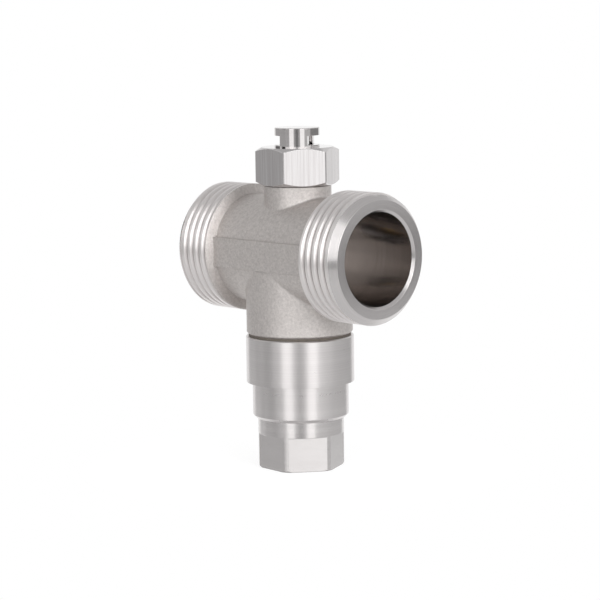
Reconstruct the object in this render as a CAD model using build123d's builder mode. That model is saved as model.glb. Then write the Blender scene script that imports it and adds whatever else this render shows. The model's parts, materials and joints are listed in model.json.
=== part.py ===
from build123d import *
import os

# Anti-freeze valve: a tee of cast brass for a 1 inch pipe, with an air inlet on top that breaks
# the vacuum and a wax-driven drain cartridge below. Millimetres, +Z up.
# The origin is on the drain's axis, at the foot of the nozzle, and the pipe runs along X.
# The pipe threads are drawn as rings of grooves at the thread's pitch. The screw joints between
# pieces are plain cylinders at the size of their crests.

# Fits between pieces
screw_clearance = 0.08
slip_clearance = 0.05
ring_clearance = 0.1
seal_gap = 0.05
screw_run_out = 0.4

# Number of sides of the springs' wire
wire_sides = 8

# Snap rings
circlip_height = 0.6
circlip_depth = 0.45
circlip_width = 1.0
circlip_gap = 3.0

# Drain nozzle: heights, and the walls outside the outlet
nozzle_height = 13.0
nozzle_flats_height = 8.9
nozzle_flats_turn = -34.0
nozzle_flats_depth = 1.22
nozzle_edge = 0.4
outlet_depth = 8.0
outlet_wall = 2.42
outlet_chamfer = 0.7
nozzle_floor = 1.5
nozzle_neck_wall = 1.75
nozzle_o_ring_section = 0.5
nozzle_o_ring_drop = 1.6

# Seat insert, from its hole outwards
seat_hole_radius = 2.8
seat_lip_width = 1.0
seat_lip_height = 1.2
seat_height = 2.6
seat_rim_width = 1.6
seat_o_ring_section = 0.45
seat_o_ring_inset = 1.35
drain_hole_margin = 1.2

# Shutter and its return spring, from the seal outwards
shutter_travel = 2.5
shutter_seal_overlap = 0.4
shutter_seal_height = 1.2
shutter_seal_proud = 0.35
shutter_disc_wall = 0.4
shutter_disc_height = 3.0
shutter_flange_height = 1.2
shutter_flange_clearance = 0.2
shutter_head_room = 0.3
shutter_notch_radius = 1.6
shutter_notch_count = 4
shutter_socket_wall = 1.45
shutter_socket_height = 2.0
shutter_socket_depth = 1.4
return_wire_radius = 0.35
return_spring_gap = 0.65
return_spring_turns = 3.5

# Wax capsule and its piston, from the piston outwards
piston_radius = 1.5
piston_reach = 3.6
piston_edge = 0.2
capsule_neck_wall = 1.65
capsule_neck_length = 4.0
capsule_neck_gap = 0.7
capsule_bore_depth = 7.2
capsule_cup_radius = 5.2
capsule_cup_height = 7.6
capsule_cup_fillet = 1.2
capsule_flange_width = 1.7
capsule_flange_height = 1.6

# Guide ring round the capsule's neck, and the plate over its spring
capsule_guide_height = 2.4
capsule_guide_hub_wall = 0.65
capsule_guide_rim_wall = 0.85
capsule_guide_window_angle = 36.0
capsule_guide_windows = 4
overtravel_wire_radius = 0.45
overtravel_spring_gap = 0.65
overtravel_spring_length = 8.6
overtravel_spring_turns = 5.0
strainer_height = 1.4
strainer_rim = 4.35
strainer_slot_reach = 2.2
strainer_slot_width = 1.6
strainer_slot_count = 6

# Cartridge body, from the wax chamber outwards
wax_chamber_gap = 1.7
ledge_width = 0.7
cartridge_neck_wall = 1.8
cartridge_rim = 2.07
step_height = 9.35
step_setback = 1.53
step_chamfer = 0.85
nozzle_setback = 1.28
collar_overhang = 0.23
collar_edge = 0.25
cartridge_gasket_height = 0.67
cartridge_gasket_setback = 0.5

# Valve body: the pipe that the water runs through
lower_boss_wall = 3.22
lower_boss_stand = 6.68
lower_boss_fillet = 1.0
lower_boss_chamfer = 0.4
cartridge_passage_setback = 2.4
barrel_overhang = 0.45
barrel_wall = 2.3
shoulder_gap = 2.9
shoulder_length = 0.9
shoulder_rise = 2.05
thread_rise = 2.4745
thread_length = 12.0
thread_chamfer = 1.68
thread_pitch = 2.309
groove_depth = 0.95
groove_width = 1.14
groove_root_width = 0.36
right_groove_start = 0.48
left_groove_start = 1.7
bore_chamfer = 0.6
chamber_depth = 0.35
chamber_overlap = 4.6
lower_boss_shelf = 0.93
pad_height = 7.6
pad_rise = 0.15
pad_root = 1.5
upper_boss_wall = 2.05
upper_boss_stand = 2.95
upper_boss_fillet = 0.9
upper_boss_shelf = 0.9

# Air inlet: the poppet and its seat, from the stem outwards
poppet_stem_radius = 1.2
poppet_stem_engagement = 1.0
poppet_head_height = 1.2
poppet_nose_radius = 1.8
poppet_nose_reach = 0.7
poppet_edge = 0.2
air_seat_gap = 0.8
air_seat_height = 1.6
air_seat_rise = 4.3
breaker_seal_overlap = 1.4
breaker_seal_height = 1.05
poppet_head_overlap = 0.2
air_gap = 0.6
breaker_wire_radius = 0.2
breaker_spring_gap = 0.8
breaker_spring_turns = 3.0
guide_rise = 0.5
guide_height = 1.2
guide_hole_radius = 0.85
guide_rim_wall = 0.4
guide_hole_count = 4

# Air inlet: the hexagonal body and the cap
breaker_neck_wall = 1.7
breaker_passage_setback = 0.2
breaker_gasket_height = 0.2
breaker_gasket_setback = 0.4
hex_height = 9.67
hex_across_flats = 19.0
hex_turn = -2.3
hex_chamfer_inset = 0.3
hex_chamfer_rise = 1.0
hex_edge_radius = 0.4
cap_height = 4.95
cap_wall = 0.65
cap_skirt_gap = 0.17
cap_overhang = 0.94
cap_foot_height = 0.55
cap_window_height = 2.4
cap_window_depth = 0.65
cap_window_turn = 35.3
cap_crown = 1.8
cap_edge = 0.15

# Radii of the seat, the shutter and the nozzle's neck
seat_lip_radius = seat_hole_radius + seat_lip_width
shutter_seal_radius = seat_lip_radius + shutter_seal_overlap
shutter_disc_radius = shutter_seal_radius + shutter_disc_wall
return_spring_radius = shutter_disc_radius + return_spring_gap + return_wire_radius
seat_radius = return_spring_radius + return_wire_radius + seat_rim_width
nozzle_chamber_radius = seat_radius + slip_clearance
shutter_flange_radius = nozzle_chamber_radius - shutter_flange_clearance
nozzle_screw_radius = nozzle_chamber_radius + nozzle_neck_wall

# Radii of the capsule and the cartridge
capsule_neck_radius = piston_radius + slip_clearance + capsule_neck_wall
capsule_flange_radius = capsule_cup_radius + capsule_flange_width
overtravel_spring_radius = capsule_cup_radius + overtravel_spring_gap + overtravel_wire_radius
wax_chamber_radius = capsule_flange_radius + wax_chamber_gap
cartridge_screw_radius = wax_chamber_radius + cartridge_neck_wall

# Radii of the valve body, and of the cartridge's outside under it
lower_boss_radius = cartridge_screw_radius + screw_clearance + lower_boss_wall
barrel_radius = lower_boss_radius + barrel_overhang
thread_radius = barrel_radius + thread_rise
bore_radius = barrel_radius - barrel_wall
chamber_radius = bore_radius + chamber_depth
collar_radius = lower_boss_radius + collar_overhang
step_radius = collar_radius - step_setback
nozzle_radius = step_radius - nozzle_setback
nozzle_across_flats = 2 * (nozzle_radius - nozzle_flats_depth)
outlet_radius = nozzle_across_flats / 2 - outlet_wall

# Radii of the air inlet
air_seat_radius = poppet_nose_radius + air_seat_gap
breaker_seal_radius = air_seat_radius + breaker_seal_overlap
poppet_head_radius = breaker_seal_radius + poppet_head_overlap
breaker_spring_radius = poppet_stem_radius + breaker_spring_gap + breaker_wire_radius
air_bore_radius = poppet_head_radius + air_gap
guide_hole_circle = air_bore_radius - slip_clearance - guide_rim_wall - guide_hole_radius
breaker_screw_radius = air_bore_radius + breaker_neck_wall
upper_boss_radius = breaker_screw_radius + screw_clearance + upper_boss_wall
cap_bore_radius = poppet_head_radius
cap_skirt_radius = cap_bore_radius + cap_wall
cap_radius = cap_skirt_radius + cap_overhang
cap_window_distance = cap_bore_radius - cap_window_depth
hex_chamfer_radius = hex_across_flats / 2 - hex_chamfer_inset
hex_corner_radius = hex_across_flats / 3**0.5

# Levels inside the nozzle, from its foot up
chamber_floor = outlet_depth + nozzle_floor
seat_foot = chamber_floor + 2 * seat_o_ring_section
seat_top = seat_foot + seat_height
shutter_seal_foot = seat_top + seat_lip_height + seal_gap
shutter_foot = shutter_seal_foot + shutter_seal_proud
shutter_flange_foot = shutter_foot + shutter_disc_height
shutter_flange_top = shutter_flange_foot + shutter_flange_height
shutter_top = shutter_flange_top + shutter_socket_height
piston_foot = shutter_top - shutter_socket_depth
nozzle_top = shutter_flange_top + shutter_travel + shutter_head_room
nozzle_o_ring_level = nozzle_top - nozzle_o_ring_drop

# Levels inside the cartridge, from the shutter up
capsule_neck_foot = shutter_top + shutter_travel + capsule_neck_gap
capsule_flange_foot = capsule_neck_foot + capsule_neck_length
capsule_flange_top = capsule_flange_foot + capsule_flange_height
capsule_top = capsule_flange_top + capsule_cup_height
ledge_level = capsule_flange_foot - capsule_guide_height
strainer_foot = capsule_flange_top + overtravel_spring_length
strainer_circlip_foot = strainer_foot + strainer_height
cartridge_top = strainer_circlip_foot + circlip_height + cartridge_rim

# Levels of the outside
boss_drop = barrel_radius + lower_boss_stand
boss_rise = barrel_radius + upper_boss_stand
cartridge_screw_length = boss_drop - chamber_radius - lower_boss_shelf - screw_run_out
breaker_screw_length = boss_rise - chamber_radius - upper_boss_shelf - screw_run_out
collar_foot = nozzle_height + step_height
boss_foot = cartridge_top - cartridge_screw_length
collar_top = boss_foot - cartridge_gasket_height
axis_height = boss_foot + boss_drop
boss_top = axis_height + boss_rise
hex_foot = boss_top + breaker_gasket_height
hex_top = hex_foot + hex_height
cap_skirt_foot = hex_foot + air_seat_rise + air_seat_height + cap_skirt_gap

# Levels inside the air inlet
neck_foot = boss_top - breaker_screw_length
breaker_circlip_foot = neck_foot + guide_rise
guide_foot = breaker_circlip_foot + circlip_height
guide_top = guide_foot + guide_height
air_seat_level = hex_foot + air_seat_rise
poppet_head_top = air_seat_level - seal_gap - breaker_seal_height
poppet_head_foot = poppet_head_top - poppet_head_height
poppet_stem_foot = guide_top - poppet_stem_engagement

# The pipe's own axis and the upright plane through it
shoulder_start = lower_boss_radius + shoulder_gap
shoulder_end = shoulder_start + shoulder_length
half_length = shoulder_end + thread_length
chamber_half_length = half_length - thread_length - shoulder_length - chamber_overlap
pipe_axis = Axis((0, 0, axis_height), (1, 0, 0))
pipe_plane = Plane(origin=(0, 0, axis_height), x_dir=(1, 0, 0), z_dir=(0, -1, 0))

os.makedirs("parts", exist_ok=True)


def groove_middles(start):
    """How far out the thread grooves of one pipe end lie, the first one at start past the shoulder."""
    room = thread_length - thread_chamfer - groove_width - start
    return [shoulder_end + start + turn * thread_pitch for turn in range(1 + int(room / thread_pitch))]


def coil_spring(mean_radius, wire_radius, foot, top, turns):
    """A compression spring standing between two levels, its wire drawn with a few flat sides."""
    rise = top - foot - 2 * wire_radius
    with BuildPart() as spring:
        with BuildLine():
            centre_line = Helix(rise / turns, rise, mean_radius, center=(0, 0, foot + wire_radius))
        with BuildSketch(Plane(origin=centre_line @ 0, x_dir=(1, 0, 0), z_dir=centre_line % 0)):
            RegularPolygon(wire_radius, wire_sides)
        sweep(path=centre_line, is_frenet=True)
    return spring.part


def snap_ring(bore_radius, foot):
    """An open spring ring that sits in a groove of a bore."""
    ring_radius = bore_radius + circlip_depth - slip_clearance
    with BuildPart() as ring:
        with BuildSketch(Plane.XY.offset(foot)):
            Circle(ring_radius)
            Circle(ring_radius - circlip_width, mode=Mode.SUBTRACT)
            with Locations((ring_radius, 0)):
                Rectangle(4 * circlip_width, circlip_gap, mode=Mode.SUBTRACT)
        extrude(amount=circlip_height)
    return ring.part


def o_ring(mean_radius, section_radius, level):
    """A rubber ring of round section."""
    with BuildPart() as ring:
        with BuildSketch(Plane.XZ):
            with Locations((mean_radius, level)):
                Circle(section_radius)
        revolve(axis=Axis.Z)
    return ring.part


# The thread grooves' roots in the pipe's plane, the right end's and then the left end's
groove_level = thread_radius - groove_depth
groove_places = [(middle, groove_level) for middle in groove_middles(right_groove_start)]
groove_places += [(-middle, groove_level) for middle in groove_middles(left_groove_start)]

# Valve body: the turned ends and the cast barrel are one revolved outline
with BuildPart() as valve_body:
    with BuildSketch(pipe_plane):
        with BuildLine():
            Polyline(
                (0, 0),
                (0, barrel_radius),
                (shoulder_start, barrel_radius),
                (shoulder_start + 2 * shoulder_length / 3, barrel_radius + shoulder_rise),
                (shoulder_end, thread_radius),
                (half_length - thread_chamfer, thread_radius),
                (half_length, thread_radius - thread_chamfer),
                (half_length, 0),
                close=True,
            )
        make_face()
    revolve(axis=pipe_axis)
    mirror(about=Plane.YZ)

    # The two bosses, with their cast fillets
    with BuildSketch(Plane.XY.offset(boss_foot)):
        Circle(lower_boss_radius)
    extrude(amount=boss_drop)
    chamfer(valve_body.faces().sort_by(Axis.Z)[0].edges(), lower_boss_chamfer)
    saddle = valve_body.edges().filter_by(GeomType.BSPLINE)
    fillet(saddle, lower_boss_fillet)
    with BuildSketch(Plane.XY.offset(axis_height)):
        Circle(upper_boss_radius)
    extrude(amount=boss_rise)
    saddle = valve_body.edges(Select.LAST).filter_by(GeomType.BSPLINE)
    fillet(saddle, upper_boss_fillet)

    # The flat pad along the barrel
    with BuildSketch(pipe_plane.offset(barrel_radius - pad_root)):
        Rectangle(2 * shoulder_start + shoulder_length, pad_height)
    extrude(amount=pad_root + pad_rise)

    # The water way, with a wider chamber between the bosses
    with BuildSketch(Plane.YZ.offset(-half_length)):
        with Locations((0, axis_height)):
            Circle(bore_radius)
    extrude(amount=2 * half_length, mode=Mode.SUBTRACT)
    rims = valve_body.edges().filter_by(GeomType.CIRCLE)
    chamfer(rims.filter_by(lambda rim: abs(rim.radius - bore_radius) < slip_clearance), bore_chamfer)
    with BuildSketch(Plane.YZ.offset(-chamber_half_length)):
        with Locations((0, axis_height)):
            Circle(chamber_radius)
    extrude(amount=2 * chamber_half_length, mode=Mode.SUBTRACT)

    # The screwed sockets of the bosses and their passages into the water way
    with BuildSketch(Plane.XY.offset(boss_foot)):
        Circle(cartridge_screw_radius + screw_clearance)
    extrude(amount=cartridge_screw_length + screw_run_out, mode=Mode.SUBTRACT)
    with BuildSketch(Plane.XY.offset(boss_foot)):
        Circle(cartridge_screw_radius - cartridge_passage_setback)
    extrude(amount=boss_drop, mode=Mode.SUBTRACT)
    with BuildSketch(Plane.XY.offset(boss_top)):
        Circle(breaker_screw_radius + screw_clearance)
    extrude(amount=-breaker_screw_length - screw_run_out, mode=Mode.SUBTRACT)
    with BuildSketch(Plane.XY.offset(boss_top)):
        Circle(air_bore_radius - breaker_passage_setback)
    extrude(amount=-boss_rise, mode=Mode.SUBTRACT)

    # The grooves of the two pipe threads, cut from just above the crests
    with BuildSketch(pipe_plane):
        with Locations(*groove_places):
            Polygon(
                (-groove_root_width / 2, 0),
                (groove_root_width / 2, 0),
                (groove_width / 2, groove_depth),
                (groove_width / 2, groove_depth + slip_clearance),
                (-groove_width / 2, groove_depth + slip_clearance),
                (-groove_width / 2, groove_depth),
            )
    revolve(axis=pipe_axis, mode=Mode.SUBTRACT)
valve_body.part.label = "valve_body"
export_step(valve_body.part, "parts/valve_body.step")

# Thin gasket between the upper boss and the air inlet
with BuildPart() as breaker_gasket:
    with BuildSketch(Plane.XY.offset(boss_top)):
        Circle(upper_boss_radius - breaker_gasket_setback)
        Circle(breaker_screw_radius + ring_clearance, mode=Mode.SUBTRACT)
    extrude(amount=breaker_gasket_height)
breaker_gasket.part.label = "breaker_gasket"
export_step(breaker_gasket.part, "parts/breaker_gasket.step")

# Body of the air inlet: a hexagon chamfered top and bottom, over a screwed neck
with BuildPart() as breaker_body:
    with BuildSketch(Plane.XY.offset(hex_foot)) as hexagon:
        RegularPolygon(hex_across_flats / 2, 6, major_radius=False, rotation=hex_turn)
        fillet(hexagon.vertices(), hex_edge_radius)
    extrude(amount=hex_height)
    with BuildSketch(Plane.XZ):
        with BuildLine():
            Polyline(
                (0, hex_foot),
                (hex_chamfer_radius, hex_foot),
                (hex_corner_radius, hex_foot + hex_chamfer_rise),
                (hex_corner_radius, hex_top - hex_chamfer_rise),
                (hex_chamfer_radius, hex_top),
                (0, hex_top),
                close=True,
            )
        make_face()
    revolve(axis=Axis.Z, mode=Mode.INTERSECT)
    with BuildSketch(Plane.XY.offset(neck_foot)):
        Circle(breaker_screw_radius)
    extrude(amount=hex_foot - neck_foot)
    chamfer(breaker_body.faces().sort_by(Axis.Z)[0].edges(), screw_run_out)

    # Bores for the poppet, for the air and for the cap
    with BuildSketch(Plane.XZ):
        with BuildLine():
            Polyline(
                (0, neck_foot),
                (air_bore_radius, neck_foot),
                (air_bore_radius, air_seat_level),
                (air_seat_radius, air_seat_level),
                (air_seat_radius, air_seat_level + air_seat_height),
                (cap_skirt_radius + slip_clearance, air_seat_level + air_seat_height),
                (cap_skirt_radius + slip_clearance, hex_top),
                (0, hex_top),
                close=True,
            )
        make_face()
    revolve(axis=Axis.Z, mode=Mode.SUBTRACT)
    with BuildSketch(Plane.XY.offset(breaker_circlip_foot)):
        Circle(air_bore_radius + circlip_depth)
    extrude(amount=circlip_height, mode=Mode.SUBTRACT)
breaker_body.part.label = "breaker_body"
export_step(breaker_body.part, "parts/breaker_body.step")

# Cap of the air inlet: a hollow thimble with two side windows
with BuildPart() as breaker_cap:
    with BuildSketch(Plane.XY.offset(hex_top)):
        Circle(cap_radius)
    extrude(amount=cap_height)
    chamfer(breaker_cap.faces().sort_by(Axis.Z)[-1].edges(), cap_edge)
    with BuildSketch(Plane.XY.offset(cap_skirt_foot)):
        Circle(cap_skirt_radius)
    extrude(amount=hex_top - cap_skirt_foot)
    with BuildSketch(Plane.XY.offset(cap_skirt_foot)):
        Circle(cap_bore_radius)
    extrude(amount=hex_top + cap_height - cap_crown - cap_skirt_foot, mode=Mode.SUBTRACT)
    with BuildSketch(Plane.XY.offset(hex_top + cap_foot_height)):
        with PolarLocations(cap_window_distance + cap_radius / 2, 2, start_angle=cap_window_turn):
            Rectangle(cap_radius, 2 * cap_radius)
    extrude(amount=cap_window_height, mode=Mode.SUBTRACT)
breaker_cap.part.label = "breaker_cap"
export_step(breaker_cap.part, "parts/breaker_cap.step")

# Poppet that drops to let air in, turned with its stem and nose
with BuildPart() as breaker_poppet:
    with BuildSketch(Plane.XZ):
        with BuildLine():
            Polyline(
                (0, poppet_stem_foot),
                (poppet_stem_radius, poppet_stem_foot),
                (poppet_stem_radius, poppet_head_foot),
                (poppet_head_radius, poppet_head_foot),
                (poppet_head_radius, poppet_head_top),
                (poppet_nose_radius, poppet_head_top),
                (poppet_nose_radius, air_seat_level + poppet_nose_reach),
                (0, air_seat_level + poppet_nose_reach),
                close=True,
            )
        make_face()
    revolve(axis=Axis.Z)
    chamfer(breaker_poppet.faces().sort_by(Axis.Z)[0].edges(), poppet_edge)
    chamfer(breaker_poppet.faces().sort_by(Axis.Z)[-1].edges(), poppet_edge)
breaker_poppet.part.label = "breaker_poppet"
export_step(breaker_poppet.part, "parts/breaker_poppet.step")

# Rubber ring that the poppet presses against its seat
with BuildPart() as breaker_seal:
    with BuildSketch(Plane.XY.offset(poppet_head_top)):
        Circle(breaker_seal_radius)
        Circle(poppet_nose_radius + slip_clearance, mode=Mode.SUBTRACT)
    extrude(amount=breaker_seal_height)
breaker_seal.part.label = "breaker_seal"
export_step(breaker_seal.part, "parts/breaker_seal.step")

# Drilled guide for the poppet's stem
with BuildPart() as breaker_guide:
    with BuildSketch(Plane.XY.offset(guide_foot)):
        Circle(air_bore_radius - slip_clearance)
        Circle(poppet_stem_radius + slip_clearance, mode=Mode.SUBTRACT)
        with PolarLocations(guide_hole_circle, guide_hole_count):
            Circle(guide_hole_radius, mode=Mode.SUBTRACT)
    extrude(amount=guide_height)
breaker_guide.part.label = "breaker_guide"
export_step(breaker_guide.part, "parts/breaker_guide.step")

breaker_circlip = snap_ring(air_bore_radius, breaker_circlip_foot)
breaker_circlip.label = "breaker_circlip"
export_step(breaker_circlip, "parts/breaker_circlip.step")

breaker_spring = coil_spring(
    breaker_spring_radius, breaker_wire_radius, guide_top, poppet_head_foot, breaker_spring_turns
)
breaker_spring.label = "breaker_spring"
export_step(breaker_spring, "parts/breaker_spring.step")

# Flat gasket between the lower boss and the cartridge
with BuildPart() as cartridge_gasket:
    with BuildSketch(Plane.XY.offset(collar_top)):
        Circle(lower_boss_radius - cartridge_gasket_setback)
        Circle(cartridge_screw_radius + ring_clearance, mode=Mode.SUBTRACT)
    extrude(amount=cartridge_gasket_height)
cartridge_gasket.part.label = "cartridge_gasket"
export_step(cartridge_gasket.part, "parts/cartridge_gasket.step")

# Cartridge body: collar and step outside, wax chamber and nozzle socket inside
with BuildPart() as cartridge_body:
    with BuildSketch(Plane.XZ):
        with BuildLine():
            Polyline(
                (nozzle_screw_radius + screw_clearance, nozzle_height),
                (step_radius - step_chamfer, nozzle_height),
                (step_radius, nozzle_height + step_chamfer),
                (step_radius, collar_foot),
                (collar_radius, collar_foot),
                (collar_radius, collar_top - collar_edge),
                (collar_radius - collar_edge, collar_top),
                (cartridge_screw_radius, collar_top),
                (cartridge_screw_radius, cartridge_top - screw_run_out),
                (cartridge_screw_radius - screw_run_out, cartridge_top),
                (wax_chamber_radius, cartridge_top),
                (wax_chamber_radius, ledge_level),
                (wax_chamber_radius - ledge_width, ledge_level),
                (wax_chamber_radius - ledge_width, nozzle_top + screw_run_out),
                (nozzle_screw_radius + screw_clearance, nozzle_top + screw_run_out),
                close=True,
            )
        make_face()
    revolve(axis=Axis.Z)
    with BuildSketch(Plane.XY.offset(strainer_circlip_foot)):
        Circle(wax_chamber_radius + circlip_depth)
    extrude(amount=circlip_height, mode=Mode.SUBTRACT)
cartridge_body.part.label = "cartridge_body"
export_step(cartridge_body.part, "parts/cartridge_body.step")

# Slotted plate at the cartridge's top, which the overtravel spring pushes against
with BuildPart() as strainer_plate:
    strainer_hole_radius = wax_chamber_radius - slip_clearance - strainer_rim
    with BuildSketch(Plane.XY.offset(strainer_foot)):
        Circle(wax_chamber_radius - slip_clearance)
        Circle(strainer_hole_radius, mode=Mode.SUBTRACT)
        with PolarLocations(strainer_hole_radius, strainer_slot_count):
            SlotCenterPoint((0, 0), (strainer_slot_reach, 0), strainer_slot_width, mode=Mode.SUBTRACT)
    extrude(amount=strainer_height)
strainer_plate.part.label = "strainer_plate"
export_step(strainer_plate.part, "parts/strainer_plate.step")

strainer_circlip = snap_ring(wax_chamber_radius, strainer_circlip_foot)
strainer_circlip.label = "strainer_circlip"
export_step(strainer_circlip, "parts/strainer_circlip.step")

overtravel_spring = coil_spring(
    overtravel_spring_radius,
    overtravel_wire_radius,
    capsule_flange_top,
    strainer_foot,
    overtravel_spring_turns,
)
overtravel_spring.label = "overtravel_spring"
export_step(overtravel_spring, "parts/overtravel_spring.step")

# Wax capsule: cup, crimped flange and neck, bored for the piston
with BuildPart() as wax_capsule:
    with BuildSketch(Plane.XZ):
        with BuildLine():
            Polyline(
                (0, capsule_neck_foot),
                (capsule_neck_radius, capsule_neck_foot),
                (capsule_neck_radius, capsule_flange_foot),
                (capsule_flange_radius, capsule_flange_foot),
                (capsule_flange_radius, capsule_flange_top),
                (capsule_cup_radius, capsule_flange_top),
                (capsule_cup_radius, capsule_top),
                (0, capsule_top),
                close=True,
            )
        make_face()
    revolve(axis=Axis.Z)
    fillet(wax_capsule.faces().sort_by(Axis.Z)[-1].edges(), capsule_cup_fillet)
    with BuildSketch(Plane.XY.offset(capsule_neck_foot)):
        Circle(piston_radius + slip_clearance)
    extrude(amount=capsule_bore_depth, mode=Mode.SUBTRACT)
wax_capsule.part.label = "wax_capsule"
export_step(wax_capsule.part, "parts/wax_capsule.step")

# Ring that centres the capsule and lets the water past through curved windows
with BuildPart() as capsule_guide:
    with BuildSketch(Plane.XY.offset(ledge_level)):
        Circle(wax_chamber_radius - slip_clearance)
        Circle(capsule_neck_radius + slip_clearance, mode=Mode.SUBTRACT)
        window_inside = capsule_neck_radius + slip_clearance + capsule_guide_hub_wall
        window_outside = wax_chamber_radius - slip_clearance - capsule_guide_rim_wall
        window_radius = (window_inside + window_outside) / 2
        window_line = CenterArc(
            (0, 0), window_radius, -capsule_guide_window_angle / 2, capsule_guide_window_angle
        )
        with PolarLocations(0, capsule_guide_windows):
            SlotArc(window_line, window_outside - window_inside, mode=Mode.SUBTRACT)
    extrude(amount=capsule_guide_height)
capsule_guide.part.label = "capsule_guide"
export_step(capsule_guide.part, "parts/capsule_guide.step")

# Piston that the wax pushes down
with BuildPart() as wax_piston:
    with BuildSketch(Plane.XY.offset(piston_foot)):
        Circle(piston_radius)
    extrude(amount=capsule_neck_foot + piston_reach - piston_foot)
    chamfer(wax_piston.edges().filter_by(GeomType.CIRCLE), piston_edge)
wax_piston.part.label = "wax_piston"
export_step(wax_piston.part, "parts/wax_piston.step")

# Shutter: disc, notched flange and the piston's socket
with BuildPart() as shutter:
    with BuildSketch(Plane.XY.offset(shutter_foot)):
        Circle(shutter_disc_radius)
    extrude(amount=shutter_disc_height)
    with BuildSketch(Plane.XY.offset(shutter_flange_foot)):
        Circle(shutter_flange_radius)
        with PolarLocations(shutter_flange_radius, shutter_notch_count):
            Circle(shutter_notch_radius, mode=Mode.SUBTRACT)
    extrude(amount=shutter_flange_height)
    with BuildSketch(Plane.XY.offset(shutter_flange_top)):
        Circle(piston_radius + slip_clearance + shutter_socket_wall)
    extrude(amount=shutter_socket_height)
    with BuildSketch(Plane.XY.offset(piston_foot)):
        Circle(piston_radius + slip_clearance)
    extrude(amount=shutter_socket_depth, mode=Mode.SUBTRACT)
    with BuildSketch(Plane.XY.offset(shutter_foot)):
        Circle(shutter_seal_radius + slip_clearance)
    extrude(amount=shutter_seal_height - shutter_seal_proud, mode=Mode.SUBTRACT)
shutter.part.label = "shutter"
export_step(shutter.part, "parts/shutter.step")

# Rubber disc in the shutter's face
with BuildPart() as shutter_seal:
    with BuildSketch(Plane.XY.offset(shutter_seal_foot)):
        Circle(shutter_seal_radius)
    extrude(amount=shutter_seal_height)
shutter_seal.part.label = "shutter_seal"
export_step(shutter_seal.part, "parts/shutter_seal.step")

return_spring = coil_spring(
    return_spring_radius, return_wire_radius, seat_top, shutter_flange_foot, return_spring_turns
)
return_spring.label = "return_spring"
export_step(return_spring, "parts/return_spring.step")

# Seat insert with a raised lip
with BuildPart() as seat_insert:
    with BuildSketch(Plane.XY.offset(seat_foot)):
        Circle(seat_radius)
    extrude(amount=seat_height)
    with BuildSketch(Plane.XY.offset(seat_top)):
        Circle(seat_lip_radius)
    extrude(amount=seat_lip_height)
    with BuildSketch(Plane.XY.offset(seat_foot)):
        Circle(seat_hole_radius)
    extrude(amount=seat_height + seat_lip_height, mode=Mode.SUBTRACT)
seat_insert.part.label = "seat_insert"
export_step(seat_insert.part, "parts/seat_insert.step")

seat_o_ring = o_ring(seat_radius - seat_o_ring_inset, seat_o_ring_section, chamber_floor + seat_o_ring_section)
seat_o_ring.label = "seat_o_ring"
export_step(seat_o_ring, "parts/seat_o_ring.step")

seat_circlip = snap_ring(nozzle_chamber_radius, seat_top)
seat_circlip.label = "seat_circlip"
export_step(seat_circlip, "parts/seat_circlip.step")

# Drain nozzle: six wrench flats outside, outlet below and seat chamber above
with BuildPart() as drain_nozzle:
    with BuildSketch(Plane.XZ):
        with BuildLine():
            Polyline(
                (0, 0),
                (nozzle_radius - nozzle_edge, 0),
                (nozzle_radius, nozzle_edge),
                (nozzle_radius, nozzle_height),
                (nozzle_screw_radius, nozzle_height),
                (nozzle_screw_radius, nozzle_top - screw_run_out),
                (nozzle_screw_radius - screw_run_out, nozzle_top),
                (0, nozzle_top),
                close=True,
            )
        make_face()
    revolve(axis=Axis.Z)
    with BuildSketch():
        Circle(nozzle_radius + nozzle_edge)
        RegularPolygon(
            nozzle_across_flats / 2, 6, major_radius=False, rotation=nozzle_flats_turn - 30, mode=Mode.SUBTRACT
        )
    extrude(amount=nozzle_flats_height, mode=Mode.SUBTRACT)

    # Outlet, drain hole and seat chamber
    with BuildSketch():
        Circle(outlet_radius)
    extrude(amount=outlet_depth, mode=Mode.SUBTRACT)
    rims = drain_nozzle.faces().sort_by(Axis.Z)[0].edges().filter_by(GeomType.CIRCLE)
    chamfer(rims.sort_by(SortBy.RADIUS)[0], outlet_chamfer)
    with BuildSketch(Plane.XY.offset(outlet_depth)):
        Circle(seat_hole_radius + drain_hole_margin)
    extrude(amount=nozzle_floor, mode=Mode.SUBTRACT)
    with BuildSketch(Plane.XY.offset(chamber_floor)):
        Circle(nozzle_chamber_radius)
    extrude(amount=nozzle_top - chamber_floor, mode=Mode.SUBTRACT)
    with BuildSketch(Plane.XY.offset(seat_top)):
        Circle(nozzle_chamber_radius + circlip_depth)
    extrude(amount=circlip_height, mode=Mode.SUBTRACT)

    # Groove round the neck for its O-ring
    groove_foot = nozzle_o_ring_level - nozzle_o_ring_section - ring_clearance
    with BuildSketch(Plane.XY.offset(groove_foot)):
        Circle(nozzle_screw_radius)
        Circle(nozzle_screw_radius - 2 * nozzle_o_ring_section, mode=Mode.SUBTRACT)
    extrude(amount=2 * nozzle_o_ring_section + 2 * ring_clearance, mode=Mode.SUBTRACT)
drain_nozzle.part.label = "drain_nozzle"
export_step(drain_nozzle.part, "parts/drain_nozzle.step")

nozzle_o_ring = o_ring(
    nozzle_screw_radius - nozzle_o_ring_section + slip_clearance, nozzle_o_ring_section, nozzle_o_ring_level
)
nozzle_o_ring.label = "nozzle_o_ring"
export_step(nozzle_o_ring, "parts/nozzle_o_ring.step")
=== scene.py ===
"""Looks of the anti-freeze valve: a nickel-plated tee with an air inlet on top and a drain cartridge below.

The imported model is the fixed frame. The valve body is built again here with its two helical pipe
threads, and every other node keeps its own mesh and gets a finish. Lengths are in metres.
"""

import json
import logging
import math
from dataclasses import dataclass
from enum import Enum
from typing import Optional, Sequence

import bmesh
import bpy
from mathutils import Matrix, Vector

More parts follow.
